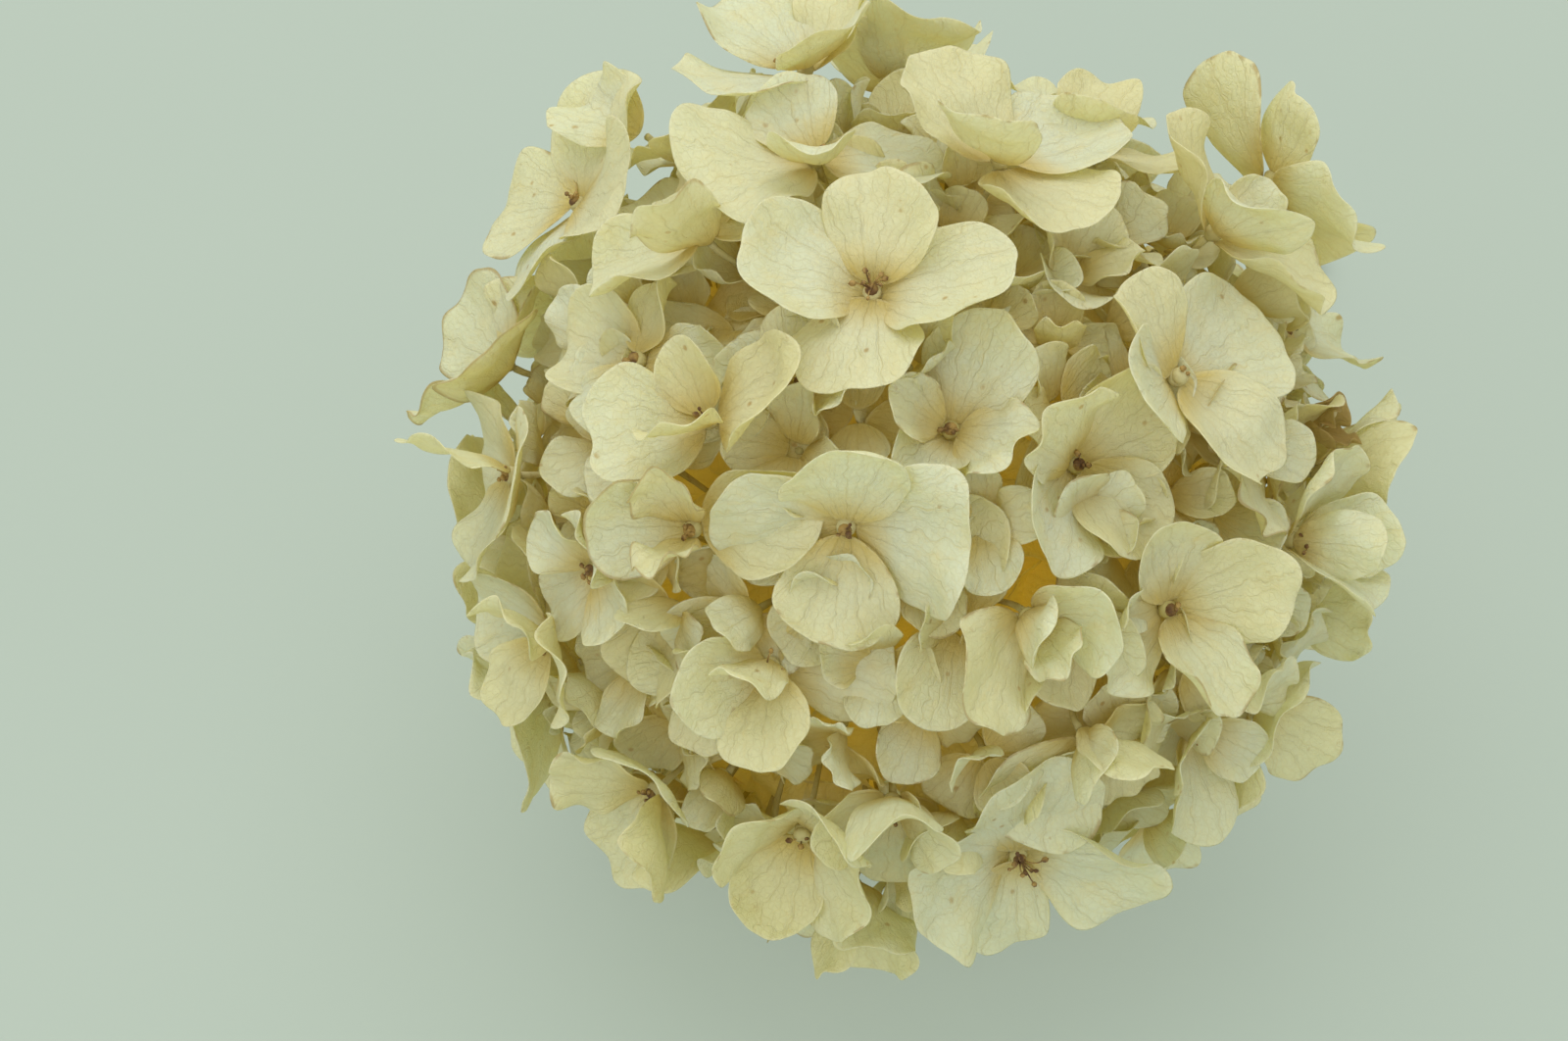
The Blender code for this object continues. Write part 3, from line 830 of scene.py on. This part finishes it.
def floret_piece(floret, name, rng, node=None, grid=GRID, soft=1, sepals=range(SEPALS), tired=0.0,
                 withered=0.0):
    """A floret's sepals as one mesh, leaning a little off its axis unless it lies on the table."""
    bm, leaf, tone = new_bmesh()
    upper = floret.hub.z > head_middle().z - HEAD_HEIGHT / 4
    if upper:
        lean = Matrix.Rotation(radians(rng.uniform(-LEAN, LEAN)), 3, floret.right)
        floret.up = lean @ floret.up
        floret.right = lean @ floret.right
    for sepal in sepals:
        habit = Habit(rng, upper, sepal % 2 == 0)
        habit.seed += tired
        habit.age += withered
        lift, reach = floret.sepals[sepal]
        floret.sepals[sepal] = lift, max(reach * VISIBLE_REACH, LEAST_REACH)
        grow_sepal(bm, leaf, tone, floret, sepal, habit, grid)
    bmesh.ops.recalc_face_normals(bm, faces=bm.faces)
    piece(bm, name, [CREAM], [node] if node else (), subdivide=soft, wall=SEPAL_WALL)


def stamen_line(floret, top, aside, length, spread, hook):
    """The middle line of one stamen, curving out of the eye and then bending over."""
    line = []
    for k in range(len(STAMEN_RADII)):
        t = k / (len(STAMEN_RADII) - 1)
        rise = length * t * cos(spread * t)
        line.append(top + floret.up * rise + aside * (length * (spread * t * 0.7 + hook * t * t * 0.3)))
    return line


def eye_piece(floret, name, rng, node, kind):
    """The middle of a floret: the receptacle behind the sepals, a bud and withered stamens."""
    bm = bmesh.new()
    foot = floret.hub - floret.up * HUB_HEIGHT / 2
    points = [foot + floret.up * (HUB_HEIGHT * at) for at, radius in RECEPTACLE]
    tube(bm, points, [radius * MM for at, radius in RECEPTACLE], 12)
    top = floret.hub + floret.up * HUB_HEIGHT * 0.45
    if kind == "bud":
        ball(bm, top, 1.5 * MM, 2, 0, 0.75, floret.up)
    else:
        ball(bm, top, 1.1 * MM, 2, 1, 0.75, floret.up)
    count, share = STAMENS[kind]
    for _ in range(count):
        aside = Matrix.Rotation(rng.uniform(0, 2 * pi), 3, floret.up) @ floret.right
        length = rng.uniform(2.0, 4.2) * MM * share
        spread = rng.uniform(0.4, 1.3)
        hook = rng.uniform(-0.7, 0.9)
        line = stamen_line(floret, top, aside, length, spread, hook)
        tube(bm, line, STAMEN_RADII, 5, material=1)
        ball(bm, line[-1], rng.uniform(0.32, 0.55) * MM, 1, 1, 1.3, aside)
    piece(bm, name, [OCHRE, WITHERED], [node])


def inner_florets(outer, stalks):
    """Florets in the spaces between and behind the outer ones, layer by layer, by a golden turn."""
    rng = Random(41)
    away = (stem_points()[-1] - head_middle()).normalized()
    found = []
    for count, proud, apart, spans in INNER_LAYERS:
        for i in range(count):
            azimuth = (i * GOLDEN_TURN + count) % 360 - 180
            elevation = degrees(asin(1 - COVERED_HEIGHT * (i + 0.5) / count))
            if direction(azimuth, elevation).angle(away) < radians(STEM_OPENING):
                continue
            depth = proud + rng.uniform(-2.5, 2.5)
            facing = azimuth + rng.uniform(-STRAY, STRAY), elevation + rng.uniform(-STRAY, STRAY)
            row = (azimuth, elevation, depth, rng.uniform(0, 90), rng.uniform(*spans), rng.uniform(8, 42),
                   rng.uniform(-5, 25), *facing)
            floret = Floret(row)
            floret.depth = depth
            if min((floret.hub - other.hub).length for other in outer + found) > apart * MM:
                found.append(floret)
    settle_sepals(found, stalks)
    return found


def odd_floret(row, up, right):
    """A floret off the list, turned freely."""
    floret = Floret(row)
    floret.up = Vector(up).normalized()
    floret.right = (Vector(right) - floret.up * floret.up.dot(Vector(right))).normalized()
    floret.sepals = {sepal: (floret.lift, 1.0) for sepal in range(SEPALS)}
    return floret


florets = [Floret(row) for row in FLORETS]
outer_trees = []
for number, floret in enumerate(florets, 1):
    node = f"floret_{number:02}"
    read_sepals(floret, node)
    outer_trees.append((floret.hub, floret.length * SPREAD, floret, node_tree(node)))
inner = inner_florets(florets, outer_trees)

for number, floret in enumerate(florets, 1):
    node = f"floret_{number:02}"
    rng = Random(number * 7 + 3)
    kind = "bud" if number in BUDDED else "beard" if number in BEARDED else "plain"
    floret_piece(floret, f"sepals_{number:02}", rng, node, tired=TIRED.get(number, 0.0))
    eye_piece(floret, f"eye_{number:02}", rng, node, kind)
for number, floret in enumerate(inner, 1):
    rng = Random(number * 11 + 5)
    if floret.depth > DEEP:
        floret_piece(floret, f"inner_{number:03}", rng, grid=INNER_GRID)
    else:
        floret_piece(floret, f"inner_{number:03}", rng, grid=DEEP_GRID, soft=0)

stray = odd_floret((-104, 37, 13, 0, 34, 14, -45), (-0.25, -0.55, 0.8), (-0.85, -0.2, 0.5))
floret_piece(stray, "stray_sepal", Random(5), sepals=(0,))
withered_cup = odd_floret((112, 20, 4, 0, 17, 62, 20), (0.9, 0.1, 0.4), (0, 1, 0))
floret_piece(withered_cup, "withered_cup", Random(8), withered=2.0)

# ---- rays and pedicels ----

RAY_STEPS = 8
PEDICEL_STEPS = 12


def stalk_piece(number, fork, bunch):
    """A ray with its knuckle, and a pedicel for each floret of its bunch."""
    bm = bmesh.new()
    rng = Random(number + 89)
    crown = crown_place()
    arch = [sin(pi * t / RAY_STEPS) for t in range(RAY_STEPS + 1)]
    ray = [crown.lerp(fork, t / RAY_STEPS) + Vector((0, 0, 1.5 * MM * rise)) for t, rise in enumerate(arch)]
    tube(bm, ray, [RAY_THICKNESS / 2 * (1.25 - 0.3 * rise) for rise in arch], 10)
    ball(bm, fork, KNUCKLE_RADIUS * 0.8, 2)
    arch = [sin(pi * t / PEDICEL_STEPS) for t in range(PEDICEL_STEPS + 1)]
    for floret in bunch:
        line = curve_points(pedicel_points(fork, floret), PEDICEL_STEPS + 1)
        sway = Vector((rng.uniform(-1, 1), rng.uniform(-1, 1), rng.uniform(-1, 1))) * 1.2 * MM
        line = [point + sway * rise ** 2 for point, rise in zip(line, arch)]
        tube(bm, line, [PEDICEL_THICKNESS / 2 * (1.35 - 0.5 * rise) for rise in arch], 7)
    piece(bm, f"stalks_{number}", [OCHRE], [f"branch_{number}"])


bunches = [[] for ray in RAYS]
for floret in florets + inner + [stray, withered_cup]:
    nearest = min(range(len(RAYS)), key=lambda i: (forks()[i] - floret.hub).length)
    bunches[nearest].append(floret)
for number, (fork, bunch) in enumerate(zip(forks(), bunches), 1):
    stalk_piece(number, fork, bunch)

# ---- stem ----

STEM_STEPS = 64
STEM_SIDES = 28
# Where along the stem it swells, by what share, and over what length of it.
SWELLINGS = ((0.0, 0.25, 0.04), (0.42, 0.10, 0.025), (0.86, 0.07, 0.03))
LEAST_HEIGHT = 1.03  # of the stem's middle line above the table, as a share of its radius
CUT_RINGS = 4


def stem_line():
    """The stem's middle line, with many points between those of its solid."""
    ends = stem_points()
    line = []
    for k in range(STEM_STEPS + 1):
        at = k / STEM_STEPS * (len(ends) - 1)
        i = min(int(at), len(ends) - 2)
        line.append(ends[i].lerp(ends[i + 1], at - i))
    return line


def stem_radii():
    """The stem's radius at each point of that line, with its swellings and a slight waviness."""
    radii = []
    for k in range(STEM_STEPS + 1):
        t = k / STEM_STEPS
        swell = sum(share * exp(-((t - place) / width) ** 2) for place, share, width in SWELLINGS)
        radii.append(STEM_DIAMETER / 2 * (0.96 + swell + 0.012 * sin(k * 1.9)))
    return radii


def cut_end_piece(end, axis, radius):
    """The cut face in rings, roughened towards its soft middle."""
    bm, leaf = new_bmesh()[:2]
    bmesh.ops.create_circle(bm, cap_ends=True, segments=STEM_SIDES, radius=radius * 0.97)
    middle = list(bm.faces)
    for _ in range(CUT_RINGS):
        bmesh.ops.inset_region(bm, faces=middle, thickness=radius * 0.2, use_even_offset=False)
        middle = [max(bm.faces, key=lambda face: len(face.verts))]
    turn = Vector((0, 0, 1)).rotation_difference(axis).to_matrix()
    for vert in bm.verts:
        rim = vert.co.length / radius
        vert[leaf] = Vector((vert.co.x / MM, vert.co.y / MM, rim))
        dent = 0.25 * MM * (1 - rim) * noise.noise(vert.co * 900)
        vert.co = end + axis * (0.12 * MM + dent) + turn @ vert.co
    piece(bm, "stem_cut_end", [CUT], ["stem"], smooth=False)


def stem_pieces():
    line = stem_line()
    radii = stem_radii()
    for point, radius in zip(line, radii):
        point.z = max(point.z, radius * LEAST_HEIGHT)
    bm, leaf = new_bmesh()[:2]
    tube(bm, line, radii, STEM_SIDES, leaf, ridges=0.012)
    ball(bm, crown_place(), CROWN_RADIUS, 3)
    piece(bm, "stem_bark", [BARK], ["stem"])
    cut_end_piece(line[-1], (line[-1] - line[-2]).normalized(), radii[-1])


stem_pieces()

# ---- table, light and camera ----

TABLE_HALF = 2.5
VIEW_AZIMUTH = 28
VIEW_ELEVATION = 46
VIEW_DISTANCE = 0.6
AIM_RIGHT = 0.0366
AIM_UP = 0.0065


def table_piece():
    bm = bmesh.new()
    bmesh.ops.create_grid(bm, x_segments=1, y_segments=1, size=TABLE_HALF)
    mesh = bpy.data.meshes.new("table_top")
    bm.to_mesh(mesh)
    bm.free()
    mesh.materials.append(floor_finish())
    table_top = bpy.data.objects.new("table_top", mesh)
    bpy.context.scene.collection.objects.link(table_top)


def lamp(name, place, size, power, colour):
    """A square lamp at a place from the head's middle, turned towards it."""
    light = bpy.data.lights.new(name, "AREA")
    light.size = size
    light.energy = power
    light.color = colour
    made = bpy.data.objects.new(name, light)
    made.location = MIDDLE + Vector(place)
    made.rotation_euler = (-Vector(place)).to_track_quat("-Z", "Y").to_euler()
    bpy.context.scene.collection.objects.link(made)


def surroundings(colour, strength):
    """Soft light from all around."""
    world = bpy.data.worlds.new("soft_room")
    world.use_nodes = True
    background = world.node_tree.nodes["Background"]
    background.inputs[0].default_value = (*colour, 1)
    background.inputs[1].default_value = strength
    bpy.context.scene.world = world


def camera_view():
    """The camera, looking down at the head, which lies a little right of the middle."""
    azimuth, elevation = radians(VIEW_AZIMUTH), radians(VIEW_ELEVATION)
    ahead = Vector((-sin(azimuth) * cos(elevation), cos(azimuth) * cos(elevation), -sin(elevation)))
    right = Vector((cos(azimuth), sin(azimuth), 0))
    above = right.cross(ahead)
    to_head = (ahead + right * AIM_RIGHT + above * AIM_UP).normalized()
    lens = bpy.data.cameras.new("view")
    lens.lens = 80
    lens.sensor_width = 36
    lens.clip_start = 0.01
    camera = bpy.data.objects.new("view", lens)
    turn = Matrix((right, above, -ahead)).transposed().to_4x4()
    camera.matrix_world = Matrix.Translation(MIDDLE - to_head * VIEW_DISTANCE) @ turn
    bpy.context.scene.collection.objects.link(camera)
    bpy.context.scene.camera = camera


table_piece()
lamp("window", (-0.22, 0.2, 1.0), 1.2, 5.6, (1.0, 1.0, 0.97))
lamp("room", (0.3, -1.15, 0.6), 1.4, 4.2, (0.98, 1.0, 0.98))
surroundings((0.97, 1.0, 0.97), 0.74)
bpy.context.scene.view_settings.view_transform = "Standard"
bpy.context.scene.cycles.diffuse_bounces = 8  # light passes through many sepals
camera_view()
